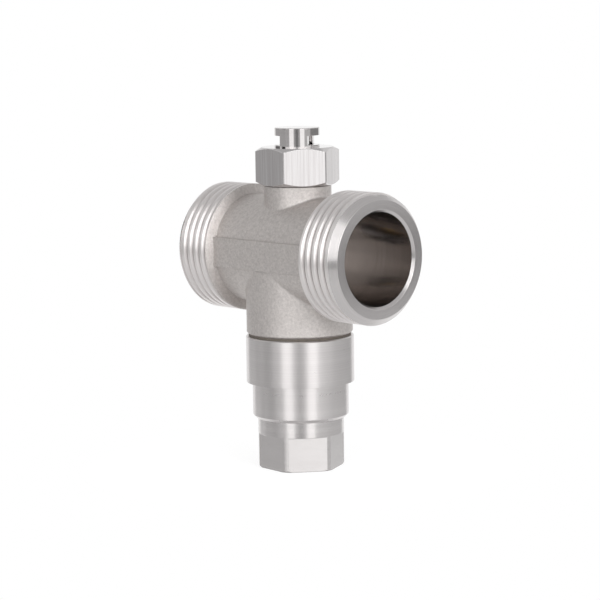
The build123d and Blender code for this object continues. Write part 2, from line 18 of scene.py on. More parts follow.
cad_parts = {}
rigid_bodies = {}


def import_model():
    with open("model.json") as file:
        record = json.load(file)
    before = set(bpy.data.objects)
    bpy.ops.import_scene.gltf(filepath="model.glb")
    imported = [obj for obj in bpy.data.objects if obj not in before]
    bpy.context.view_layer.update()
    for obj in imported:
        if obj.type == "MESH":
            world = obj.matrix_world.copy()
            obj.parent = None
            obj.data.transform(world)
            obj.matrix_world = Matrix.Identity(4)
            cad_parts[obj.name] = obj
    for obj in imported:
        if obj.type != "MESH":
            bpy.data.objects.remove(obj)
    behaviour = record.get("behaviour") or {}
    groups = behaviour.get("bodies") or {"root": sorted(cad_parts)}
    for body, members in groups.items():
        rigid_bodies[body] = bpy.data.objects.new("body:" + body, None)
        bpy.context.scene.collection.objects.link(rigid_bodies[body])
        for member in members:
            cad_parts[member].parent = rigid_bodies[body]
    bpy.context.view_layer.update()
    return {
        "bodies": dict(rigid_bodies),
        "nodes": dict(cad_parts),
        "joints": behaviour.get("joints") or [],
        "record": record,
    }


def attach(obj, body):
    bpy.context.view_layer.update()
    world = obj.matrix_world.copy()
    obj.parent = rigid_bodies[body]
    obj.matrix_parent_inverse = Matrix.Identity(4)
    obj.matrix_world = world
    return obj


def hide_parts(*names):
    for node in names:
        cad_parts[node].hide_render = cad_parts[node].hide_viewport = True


MM = 0.001
WHITE = (1.0, 1.0, 1.0, 1.0)
EDGE_SAMPLES = 6
HALF_TURN = 180.0
SMOOTH = {"interpolation_type": "SMOOTHSTEP"}

log = logging.getLogger("valve")


class TurningAxis(Enum):
    """The axis that a piece was turned about: the pipe's, or the upright one of the bosses."""

    PIPE = "X"
    UPRIGHT = "Z"


class Graph:
    """A node tree with short ways to add nodes and to join them."""

    def __init__(self, tree: bpy.types.NodeTree) -> None:
        """Starts on an empty tree.

        Args:
            tree: the node tree of a material or of the world.
        """
        self.tree = tree
        self.tree.nodes.clear()

    def add(self, kind: str, settings: Optional[dict] = None, **inputs: object) -> bpy.types.Node:
        """Adds a node.

        Args:
            kind: the node's type without its ShaderNode prefix.
            settings: the node's own properties.
            **inputs: sockets by name, with spaces as underscores, each a value or a socket to link.

        Returns:
            The new node.
        """
        node = self.tree.nodes.new("ShaderNode" + kind)
        for name, value in (settings or {}).items():
            setattr(node, name, value)
        for name, value in inputs.items():
            self.feed(node.inputs[name.replace("_", " ")], value)
        return node

    def feed(self, socket: bpy.types.NodeSocket, value: object) -> None:
        """Links a socket to another, or sets its value.

        Args:
            socket: the input that gets the value.
            value: a number, a vector, a colour or a socket.
        """
        if isinstance(value, bpy.types.NodeSocket):
            self.tree.links.new(value, socket)
        else:
            socket.default_value = value

    def math(self, operation: str, *values: object) -> bpy.types.NodeSocket:
        """Adds a Math node.

        Args:
            operation: what the node works out.
            *values: its inputs in order, each a number or a socket.

        Returns:
            The result's socket.
        """
        node = self.add("Math", {"operation": operation})
        for socket, value in zip(node.inputs, values):
            self.feed(socket, value)
        return node.outputs[0]

    def vector(self, operation: str, first: object, second: object = None) -> bpy.types.Node:
        """Adds a Vector Math node.

        Args:
            operation: what the node works out.
            first: its first input, a vector or a socket.
            second: its second input, where the operation takes one.

        Returns:
            The node, whose result is its first output or the one called Value.
        """
        node = self.add("VectorMath", {"operation": operation})
        self.feed(node.inputs[0], first)
        if second is not None:
            self.feed(node.inputs[1], second)
        return node

    def place(self) -> bpy.types.NodeSocket:
        """Returns the point that is being shaded, in metres."""
        return self.add("TexCoord").outputs["Object"]

    def noise(self, vector: object, scale: float, detail: float = 2.0,
              rough: float = 0.5) -> bpy.types.NodeSocket:
        """Adds a Noise Texture and returns its grey output."""
        node = self.add("TexNoise", Vector=vector, Scale=scale, Detail=detail, Roughness=rough)
        return node.outputs[0]

    def ramp(self, value: object, low: float = 0.0, high: float = 1.0) -> bpy.types.NodeSocket:
        """Returns a value from 0 to 1 stretched smoothly over low to high."""
        node = self.add("MapRange", SMOOTH, Value=value, To_Min=low, To_Max=high)
        return node.outputs[0]

    def step(self, value: object, start: float, end: float) -> bpy.types.NodeSocket:
        """Returns 0 on the start's side of a value and 1 on the end's side, with a smooth rise between."""
        node = self.add("MapRange", SMOOTH, Value=value, From_Min=start, From_Max=end)
        return node.outputs[0]

    def weigh(self, first: object, second: object, share: float) -> bpy.types.NodeSocket:
        """Returns the sum of two values, of which the second has the given share."""
        return self.math("MULTIPLY_ADD", first, 1.0 - share, self.math("MULTIPLY", second, share))

    def join(self, kind: str, settings: dict, places: Sequence[int],
             values: Sequence[object]) -> bpy.types.Node:
        """Adds a node and feeds its inputs by their places.

        Args:
            kind: the node's type without its ShaderNode prefix.
            settings: the node's own properties.
            places: the places of the inputs.
            values: what each of them gets, in the same order.

        Returns:
            The new node.
        """
        node = self.add(kind, settings)
        for place, value in zip(places, values):
            self.feed(node.inputs[place], value)
        return node

    def blend(self, factor: object, first: object, second: object) -> bpy.types.NodeSocket:
        """Returns a blend of two numbers."""
        return self.join("Mix", {"data_type": "FLOAT"}, (0, 2, 3), (factor, first, second)).outputs[0]

    def mix(self, factor: object, first: object, second: object) -> bpy.types.NodeSocket:
        """Returns a blend of two colours, each given by its three levels or by a socket."""
        colours = [(*colour, 1.0) if isinstance(colour, tuple) else colour for colour in (first, second)]
        return self.join("Mix", {"data_type": "RGBA"}, (0, 6, 7), (factor, *colours)).outputs[2]

    def either(self, factor: object, first: object, second: object) -> bpy.types.NodeSocket:
        """Returns a blend of two shaders."""
        return self.join("MixShader", {}, (0, 1, 2), (factor, first, second)).outputs[0]

    def bump(self, height: object, distance: float, normal: object) -> bpy.types.NodeSocket:
        """Returns a normal with a relief whose full height is the distance."""
        node = self.add("Bump", Strength=1.0, Distance=distance, Height=height, Normal=normal)
        return node.outputs[0]

    def soft_edge(self, radius: float, samples: int = EDGE_SAMPLES) -> bpy.types.NodeSocket:
        """Returns the normal of a surface whose sharp edges are rounded to the radius."""
        return self.add("Bevel", {"samples": samples}, Radius=radius).outputs[0]

    def openness(self, reach: float, limits: tuple[float, float], own: bool = False) -> bpy.types.NodeSocket:
        """Returns how far a point lies out of the corners.

        Args:
            reach: how far off a surface still counts.
            limits: the shares of open air that stand for 0 and for 1.
            own: whether only the piece's own surfaces count.

        Returns:
            The socket, from 0 in a corner to 1 in the open.
        """
        node = self.add("AmbientOcclusion", {"samples": EDGE_SAMPLES, "only_local": own}, Distance=reach)
        return self.step(node.outputs["AO"], *limits)

    def surface(self, **inputs: object) -> None:
        """Ends a material with a Principled shader, whose inputs are given by name."""
        self.add("OutputMaterial", Surface=self.add("BsdfPrincipled", **inputs).outputs[0])


def new_material(name: str) -> tuple[bpy.types.Material, Graph]:
    """Adds a material that uses nodes.

    Args:
        name: its name.

    Returns:
        The material and its empty node tree.
    """
    material = bpy.data.materials.new(name)
    material.use_nodes = True
    return material, Graph(material.node_tree)


@dataclass(frozen=True)
class TurnedCoordinates:
    """Where a point lies on a turned piece, and which way its tool marks run.

    Along is the distance along the axis and radius the one from it. Around is a part of the marks'
    direction, which changes slowly from one side of the piece to the other.
    """

    along: bpy.types.NodeSocket
    radius: bpy.types.NodeSocket
    around: bpy.types.NodeSocket
    tangent: bpy.types.NodeSocket


def turned_coordinates(graph: Graph, axis: TurningAxis, axis_height: float) -> TurnedCoordinates:
    """Adds the nodes that measure a point against a turning axis.

    Args:
        graph: the material's nodes.
        axis: which axis the piece was turned about.
        axis_height: the height of the pipe's axis.

    Returns:
        The sockets of the measures and the direction of the tool marks.
    """
    upright = axis is TurningAxis.UPRIGHT
    centre = (0.0, 0.0, 0.0 if upright else axis_height)
    across = (1.0, 1.0, 0.0) if upright else (0.0, 1.0, 1.0)
    pole = (0.0, 0.0, 1.0) if upright else (1.0, 0.0, 0.0)
    offset = graph.vector("SUBTRACT", graph.place(), centre).outputs[0]
    flat = graph.vector("MULTIPLY", offset, across).outputs[0]
    tangent = graph.vector("NORMALIZE", graph.vector("CROSS_PRODUCT", flat, pole).outputs[0]).outputs[0]
    return TurnedCoordinates(
        along=graph.vector("DOT_PRODUCT", offset, pole).outputs["Value"],
        radius=graph.vector("LENGTH", flat).outputs["Value"],
        around=graph.add("SeparateXYZ", Vector=tangent).outputs["X" if upright else "Z"],
        tangent=tangent,
    )


@dataclass(frozen=True)
class CastNickel:
    """Matt nickel plate over a blasted casting: an even grain with soft, broader unevenness.

    The scales of its noises are per metre. Its crevices are painted darker by ambient occlusion, as painted
    shade.
    """

    name: str = "cast_nickel"
    dark: tuple[float, float, float] = (0.44, 0.412, 0.398)
    light: tuple[float, float, float] = (0.80, 0.760, 0.738)
    roughness: tuple[float, float] = (0.46, 0.62)
    grain_scale: float = 2600.0
    pit_scale: float = 5200.0
    swell_scale: float = 520.0
    mottle_scale: float = 1500.0
    grain_share: float = 0.4
    grain_height: float = 0.045 * MM
    pit_height: float = 0.0225 * MM
    swell_height: float = 0.05 * MM
    edge_radius: float = 0.22 * MM
    # Painted shade: how far the ambient occlusion reaches, and the shares of open air that give full and no
    # darkening.
    crevice_shade_reach: float = 0.9 * MM
    crevice_shade_limits: tuple[float, float] = (0.35, 0.85)

    def build(self) -> bpy.types.Material:
        """Builds the finish's nodes.

        Returns:
            The material.
        """
        material, graph = new_material(self.name)
        place = graph.place()
        grain = graph.noise(place, self.grain_scale, detail=3.0, rough=0.6)
        pits = graph.noise(place, self.pit_scale)
        swell = graph.noise(place, self.swell_scale, detail=3.0, rough=0.55)
        mottle = graph.noise(place, self.mottle_scale, detail=5.0, rough=0.75)
        # Painted shade: ambient occlusion darkens the colour in crevices, at the pad's foot and in the
        # fillets.
        unshaded = graph.openness(self.crevice_shade_reach, self.crevice_shade_limits, own=True)
        relief = graph.bump(swell, self.swell_height, graph.soft_edge(self.edge_radius))
        relief = graph.bump(grain, self.grain_height, relief)
        relief = graph.bump(pits, self.pit_height, relief)
        graph.surface(
            Base_Color=graph.mix(graph.math("MULTIPLY", graph.ramp(mottle), unshaded), self.dark, self.light),
            Metallic=1.0,
            Roughness=graph.ramp(graph.weigh(swell, grain, self.grain_share), *self.roughness),
            Normal=relief,
        )
        return material


@dataclass(frozen=True)
class TurnedMetal:
    """Metal straight from the lathe, with fine tool marks that run around its axis.

    Its colour is painted darker in its corners and towards the thread's root, below a set radius, as painted
    shade. The smudge's scale is per metre.
    """

    name: str
    axis: TurningAxis
    axis_height: float
    dark: tuple[float, float, float] = (0.62, 0.594, 0.590)
    light: tuple[float, float, float] = (0.74, 0.715, 0.710)
    roughness: tuple[float, float] = (0.21, 0.28)
    anisotropy: float = 0.5
    quarter_turn: float = 0.25
    feed: float = 0.16 * MM
    band_scale: float = 0.12
    drift: float = 0.02
    mark_height: float = 0.0012 * MM
    edge_radius: float = 0.10 * MM
    band_share: float = 0.4
    haze: float = 0.4
    smudge_scale: float = 350.0
    # Painted shade: its colour, the radius below which the root is darkened, the blend's width, and the reach
    # and limits of the corner darkening.
    shade_tone: tuple[float, float, float] = (0.22, 0.20, 0.195)
    shade_below: float = 0.0
    shade_blend: float = 0.5 * MM
    corner: float = 0.5 * MM
    corner_limits: tuple[float, float] = (0.25, 0.75)

    def build(self) -> bpy.types.Material:
        """Builds the finish's nodes.

        Returns:
            The material.
        """
        material, graph = new_material(self.name)
        turned = turned_coordinates(graph, self.axis, self.axis_height)
        around = graph.math("MULTIPLY", turned.around, self.drift * self.feed)
        marks_at = graph.add("CombineXYZ", X=turned.along, Y=turned.radius, Z=around).outputs[0]
        marks = graph.noise(marks_at, 1.0 / self.feed, detail=1.0)
        bands = graph.noise(marks_at, self.band_scale / self.feed)
        smudge = graph.noise(graph.place(), self.smudge_scale, detail=3.0, rough=0.6)
        plate = graph.mix(graph.ramp(graph.weigh(marks, bands, self.band_share)), self.dark, self.light)
        # Painted shade: the colour darkens towards the root, below a set radius, and in corners found by
        # ambient occlusion.
        raised = graph.step(turned.radius, self.shade_below - self.shade_blend, self.shade_below)
        unshaded = graph.math("MULTIPLY", raised, graph.openness(self.corner, self.corner_limits))
        graph.surface(
            Base_Color=graph.mix(unshaded, self.shade_tone, plate),
            Metallic=1.0,
            Roughness=graph.ramp(graph.weigh(bands, smudge, self.haze), *self.roughness),
            Anisotropic=self.anisotropy,
            Anisotropic_Rotation=self.quarter_turn,
            Tangent=turned.tangent,
            Normal=graph.bump(marks, self.mark_height, graph.soft_edge(self.edge_radius)),
        )
        return material


@dataclass(frozen=True)
class DrawnHexagon:
    """Bright hexagon bar: fine streaks along its flats, and turned rings on its two ends.

    The scales of its noises are per metre. Faces that lean more than end_slope count as ends.
    """

    name: str = "drawn_hexagon"
    dark: tuple[float, float, float] = (0.56, 0.532, 0.530)
    light: tuple[float, float, float] = (0.76, 0.745, 0.745)
    roughness: tuple[float, float] = (0.06, 0.10)
    streak_scale: float = 2400.0
    score_scale: float = 900.0
    ring_scale: float = 5000.0
    drift: float = 0.02
    end_slope: float = 0.2
    streak_height: float = 0.0025 * MM
    edge_radius: float = 0.12 * MM

    def build(self) -> bpy.types.Material:
        """Builds the finish's nodes.

        Returns:
            The material.
        """
        material, graph = new_material(self.name)
        turned = turned_coordinates(graph, TurningAxis.UPRIGHT, 0.0)
        place = graph.add("SeparateXYZ", Vector=graph.place()).outputs
        drawn = graph.math("MULTIPLY", place["Z"], self.drift)
        streaks_at = graph.add("CombineXYZ", X=place["X"], Y=place["Y"], Z=drawn).outputs[0]
        streaks = graph.noise(streaks_at, self.streak_scale, detail=3.0, rough=0.65)
        scores = graph.noise(streaks_at, self.score_scale)
        rings_at = graph.add("CombineXYZ", X=turned.radius, Y=turned.along).outputs[0]
        rings = graph.noise(rings_at, self.ring_scale, rough=0.6)
        facing = graph.add("SeparateXYZ", Vector=graph.add("NewGeometry").outputs["Normal"]).outputs["Z"]
        end_face = graph.math("GREATER_THAN", graph.math("ABSOLUTE", facing), self.end_slope)
        marks = graph.blend(end_face, streaks, rings)
        graph.surface(
            Base_Color=graph.mix(graph.ramp(marks), self.dark, self.light),
            Metallic=1.0,
            Roughness=graph.ramp(scores, *self.roughness),
            Normal=graph.bump(marks, self.streak_height, graph.soft_edge(self.edge_radius)),
        )
        return material


@dataclass(frozen=True)
class SoftMaterial:
    """Rubber, fibre or plastic: no metal in it, with a fine grain of its own."""

    name: str
    dark: tuple[float, float, float]
    light: tuple[float, float, float]
    roughness: tuple[float, float]
    grain: float
    grain_height: float
    cloud_width: float = 5.0
    specular: float = 0.4
    edge_radius: float = 0.1 * MM
    edge_samples: int = 4

    def build(self) -> bpy.types.Material:
        """Builds the finish's nodes.

        Returns:
            The material.
        """
        material, graph = new_material(self.name)
        place = graph.place()
        grain = graph.noise(place, 1.0 / self.grain, detail=4.0, rough=0.6)
        cloud = graph.noise(place, 1.0 / (self.cloud_width * self.grain))
        edge = graph.soft_edge(self.edge_radius, self.edge_samples)
        graph.surface(
            Base_Color=graph.mix(graph.ramp(cloud), self.dark, self.light),
            Roughness=graph.ramp(grain, *self.roughness),
            Specular_IOR_Level=self.specular,
            Normal=graph.bump(grain, self.grain_height, edge),
        )
        return material


@dataclass(frozen=True)
class PipeThread:
    """One helical pipe thread, as the depth that its tool leaves at any point of a pipe end.

    The flanks' lean is taken to a point beside the rounded root, root_spread radii out and root_rise
    radii up. Each rounding is made of a few straight steps.
    """

    first_groove: float
    run_in: tuple[float, float] = (17.25 * MM, 18.0 * MM)
    run_out: tuple[float, float] = (27.2 * MM, 28.2 * MM)
    pitch: float = 2.309 * MM
    depth: float = 0.95 * MM
    half_width: float = 0.60 * MM
    root_radius: float = 0.20 * MM
    root_spread: float = 0.9
    root_rise: float = 0.577
    root_shares: tuple[float, ...] = (0.35, 0.7)
    crest_round: float = 0.50 * MM
    crest_steps: int = 5
    land_steps: int = 2

    def section(self) -> list[tuple[float, float]]:
        """Returns one half of the groove's section.

        Returns:
            Pairs of the distance from the groove's middle and the depth there, outwards.
        """
        lean = math.atan((self.half_width - self.root_spread * self.root_radius)
                         / (self.depth - self.root_rise * self.root_radius))
        flank_at = self.root_radius * math.cos(lean)
        flank_depth = self.depth - self.root_radius * (1 - math.sin(lean))
        points = [(0.0, self.depth)]
        for share in self.root_shares:
            place = share * flank_at
            sag = self.root_radius - math.sqrt(self.root_radius ** 2 - place ** 2)
            points.append((place, self.depth - sag))
        points.append((flank_at, flank_depth))
        tilt = math.pi / 2 - lean
        land_at = self.half_width + self.crest_round * math.tan(tilt / 2)
        turns = [tilt * step / self.crest_steps for step in range(self.crest_steps, -1, -1)]
        crest = [(land_at - self.crest_round * math.sin(turn), self.crest_round * (1 - math.cos(turn)))
                 for turn in turns]
        points += [((flank_at + crest[0][0]) / 2, (flank_depth + crest[0][1]) / 2), *crest]
        land = self.pitch / 2 - land_at
        points += [(land_at + land * step / self.land_steps, 0.0) for step in range(1, self.land_steps + 1)]
        return points

    def rows(self) -> list[float]:
        """Returns the places of one pitch's rows, from the groove's middle."""
        half = [place for place, _ in self.section()]
        return [-place for place in half[:0:-1]] + half[:-1]

    def groove_middle(self, turns: float, index: int) -> float:
        """Returns how far out the middle of a groove lies after so many turns."""
        return self.first_groove + self.pitch * (index + turns)

    def depth_at(self, outward: float, turns: float) -> float:
        """Returns the groove's depth at a point.

        Args:
            outward: the distance from the valve's middle, along the pipe.
            turns: the angle about the pipe, in turns.

        Returns:
            The depth below the crest, 0 on the crest itself.
        """
        index = round((outward - self.first_groove) / self.pitch - turns)
        middle = self.groove_middle(turns, index)
        place = abs(outward - middle)
        points = self.section()
        cut = 0.0
        for (near, deep), (far, shallow) in zip(points, points[1:]):
            if near <= place <= far:
                cut = deep + (shallow - deep) * (place - near) / (far - near)
        starting = (middle - self.run_in[0]) / (self.run_in[1] - self.run_in[0])
        ending = (self.run_out[1] - middle) / (self.run_out[1] - self.run_out[0])
        reach = max(0.0, min(1.0, starting, ending))
        return max(0.0, cut - self.depth * (1 - reach * reach * (3 - 2 * reach)))


@dataclass(frozen=True)
class PipeEnd:
    """One of the two threaded ends, built on the cut that takes the plain one off."""

    thread: PipeThread
    side: int
    axis_height: float
    cut_at: float = 17.2 * MM
    shoulder_radius: float = 16.2 * MM
    thread_from: float = 17.5 * MM
    crest_radius: float = 16.6245 * MM
    chamfer_at: float = 27.82 * MM
    end_at: float = 29.5 * MM
    end_radius: float = 14.9445 * MM
    bore_radius: float = 11.85 * MM
    bore_chamfer: float = 0.6 * MM
    ridge: float = 0.22 * MM
    bore_step: float = 4 * MM
    lead_in: float = 0.75
    spare_pitches: int = 3
    chamfer_steps: int = 3
    same_place: float = 1e-6 * MM
    cut_weld: float = 0.0005 * MM
    below_pipe: float = -0.25

    def turns_of(self, place: Vector) -> float:
        """Returns a point's angle about the pipe in turns, counted on from below the pipe.

        Args:
            place: the point.

        Returns:
            The turns, from below_pipe up to a whole turn more.
        """
        angle = math.atan2(place.z - self.axis_height, self.side * place.y)
        turns = angle / (2 * math.pi)
        return turns if turns >= self.below_pipe else turns + 1.0

    def point(self, outward: float, radius: float, turns: float) -> Vector:
        """Finds a point by how it lies on the pipe.

        Args:
            outward: the distance from the valve's middle, along the pipe.
            radius: the distance from the pipe's axis.
            turns: the angle about the pipe, in turns.

        Returns:
            The point.
        """
        angle = 2 * math.pi * turns
        return Vector((self.side * outward, self.side * radius * math.cos(angle),
                       self.axis_height + radius * math.sin(angle)))

    def surface_radius(self, outward: float, turns: float) -> float:
        """Returns the threaded end's outer radius at a point.

        Args:
            outward: the distance from the valve's middle, along the pipe.
            turns: the angle about the pipe, in turns.

        Returns:
            The radius, with the groove, the chamfer and the rise at the shoulder.
        """
        past = max(0.0, outward - self.chamfer_at) / (self.end_at - self.chamfer_at)
        cone = self.crest_radius - (self.crest_radius - self.end_radius) * past
        standing = max(0.0, min(1.0, (outward - self.thread_from) / self.ridge))
        return min(cone, self.crest_radius - standing * self.thread.depth_at(outward, turns))

    def build(self, shape: bmesh.types.BMesh) -> None:
        """Cuts the plain end off and grows the threaded one from the cut.

        Args:
            shape: the whole valve body, which this changes.
        """
        everything = shape.verts[:] + shape.edges[:] + shape.faces[:]
        bmesh.ops.bisect_plane(shape, geom=everything, plane_co=(self.side * self.cut_at, 0.0, 0.0),
                               plane_no=(self.side, 0.0, 0.0), clear_outer=True)
        bmesh.ops.remove_doubles(shape, verts=shape.verts[:], dist=self.cut_weld)
        rim = [edge for edge in shape.edges if edge.is_boundary and self.side * edge.verts[0].co.x > 0]
        halfway = (self.crest_radius + self.bore_radius) / 2
        for edge in [edge for edge in rim if self.radius_of(edge.verts[0].co) > halfway]:
            bmesh.utils.edge_split(edge, edge.verts[0], 0.5)
        rim = {vert for edge in shape.edges if edge.is_boundary for vert in edge.verts
               if self.side * vert.co.x > 0}
        outside = [vert for vert in rim if self.radius_of(vert.co) > halfway]
        inside = [vert for vert in rim if self.radius_of(vert.co) < halfway]
        outer = self.set_round(outside, self.shoulder_radius)
        inner = self.set_round(inside, self.bore_radius)
        outer = self.next_ring(shape, outer, self.thread_from, self.crest_radius)
        outer = self.cut_thread(shape, outer)
        inner = self.extend_bore(shape, inner)
        self.close_face(shape, outer, inner)

    def radius_of(self, place: Vector) -> float:
        """Returns a point's distance from the pipe's axis."""
        return math.hypot(place.y, place.z - self.axis_height)

    def set_round(self, ring: list[bmesh.types.BMVert], radius: float) -> list[bmesh.types.BMVert]:
        """Puts a ring of points on a true circle.

        Args:
            ring: the points.
            radius: the circle's radius.

        Returns:
            The points in the order of their angles.
        """
        for vert in ring:
            vert.co = self.point(self.cut_at, radius, self.turns_of(vert.co))
        return sorted(ring, key=lambda vert: self.turns_of(vert.co))

    def cut_thread(self, shape: bmesh.types.BMesh,
                   ring: list[bmesh.types.BMVert]) -> list[bmesh.types.BMVert]:
        """Builds the threaded surface from the shoulder to the end face.

        The rows follow the helix, so the groove's edges lie on them. Where a row leaves the thread it
        runs along the shoulder or along the chamfer's edge, and its points there are one point.

        Args:
            shape: the mesh that gets the surface.
            ring: the shoulder's points in the order of their angles.

        Returns:
            The ring of points at the end face.
        """
        thread = self.thread
        rows = thread.rows()
        pitches = math.ceil((self.end_at - self.thread_from) / thread.pitch) + self.spare_pitches
        start = self.thread_from - self.lead_in * thread.pitch
        first = math.floor((start - thread.first_groove) / thread.pitch) - 1
        starts = [(first + index, place) for index in range(pitches) for place in rows]
        last_at = self.chamfer_at - self.same_place
        columns = []
        for foot in ring:
            turns = self.turns_of(foot.co)
            column = []
            for index, place in starts:
                outward = thread.groove_middle(turns, index) + place
                outward = max(self.thread_from, min(self.chamfer_at, outward))
                if outward <= self.thread_from:
                    column.append(foot)
                elif outward >= self.chamfer_at and self.side * column[-1].co.x >= last_at:
                    column.append(column[-1])
                else:
                    radius = self.surface_radius(outward, turns)
                    column.append(shape.verts.new(self.point(outward, radius, turns)))
            columns.append(column)
        last = columns[0][len(rows):] + [columns[0][-1]] * len(rows)
        for near, far in zip(columns, columns[1:] + [last]):
            for low in range(len(starts) - 1):
                self.face(shape, [near[low], far[low], far[low + 1], near[low + 1]])
        ring = [column[-1] for column in columns]
        for step in range(1, self.chamfer_steps + 1):
            share = step / self.chamfer_steps
            outward = self.chamfer_at + share * (self.end_at - self.chamfer_at)
            ring = self.next_ring(shape, ring, outward, self.surface_radius(outward, 0.0))
        return ring

    def face(self, shape: bmesh.types.BMesh, corners: Sequence[bmesh.types.BMVert]) -> None:
        """Adds a face between points, where neighbours may be the same point.

        Args:
            shape: the mesh that gets the face.
            corners: the points in order round the face.
        """
        kept = [vert for vert, before in zip(corners, [corners[-1], *corners[:-1]]) if vert is not before]
        if len(set(kept)) > 2:
            shape.faces.new(kept)

    def next_ring(self, shape: bmesh.types.BMesh, ring: list[bmesh.types.BMVert], outward: float,
                  radius: float) -> list[bmesh.types.BMVert]:
        """Adds a round band of faces from a ring to a new one.

        Args:
            shape: the mesh that gets the band.
            ring: the points that the band starts from, in the order of their angles.
            outward: how far out the new ring lies.
            radius: the new ring's radius.

        Returns:
            The new ring, in the same order.
        """
        fresh = [shape.verts.new(self.point(outward, radius, self.turns_of(vert.co))) for vert in ring]
        for place, vert in enumerate(ring):
            after = (place + 1) % len(ring)
            shape.faces.new((vert, ring[after], fresh[after], fresh[place]))
        return fresh

    def extend_bore(self, shape: bmesh.types.BMesh,
                    ring: list[bmesh.types.BMVert]) -> list[bmesh.types.BMVert]:
        """Carries the bore out to its chamfer and on to the end face.

        Args:
            shape: the mesh that gets the bore.
            ring: the bore's points at the cut, in the order of their angles.

        Returns:
            The ring of points at the end face.
        """
        for outward in (self.cut_at + self.bore_step, self.end_at - self.bore_chamfer):
            ring = self.next_ring(shape, ring, outward, self.bore_radius)
        return self.next_ring(shape, ring, self.end_at, self.bore_radius + self.bore_chamfer)

    def close_face(self, shape: bmesh.types.BMesh, outer: list[bmesh.types.BMVert],
                   inner: list[bmesh.types.BMVert]) -> None:
        """Fills the flat end between two rings of points, each in the order of its angles.

        Args:
            shape: the mesh that gets the faces.
            outer: the ring at the chamfer.
            inner: the ring at the bore.
        """
        out_at, in_at = 0, 0
        while out_at < len(outer) or in_at < len(inner):
            next_out = self.turns_of(outer[out_at % len(outer)].co) + out_at // len(outer)
            next_in = self.turns_of(inner[in_at % len(inner)].co) + in_at // len(inner)
            here_out, here_in = outer[out_at - 1], inner[in_at - 1]
            if out_at < len(outer) and (next_out <= next_in or in_at == len(inner)):
                shape.faces.new((here_out, outer[out_at], here_in))
                out_at += 1
            else:
                shape.faces.new((here_out, inner[in_at], here_in))
                in_at += 1


class Finish(Enum):
    """The finishes on the valve body, in the order of its material slots."""

    CAST = 0
    TURNED = 1
    BORED = 2
    FACED = 3
    THREADED = 4


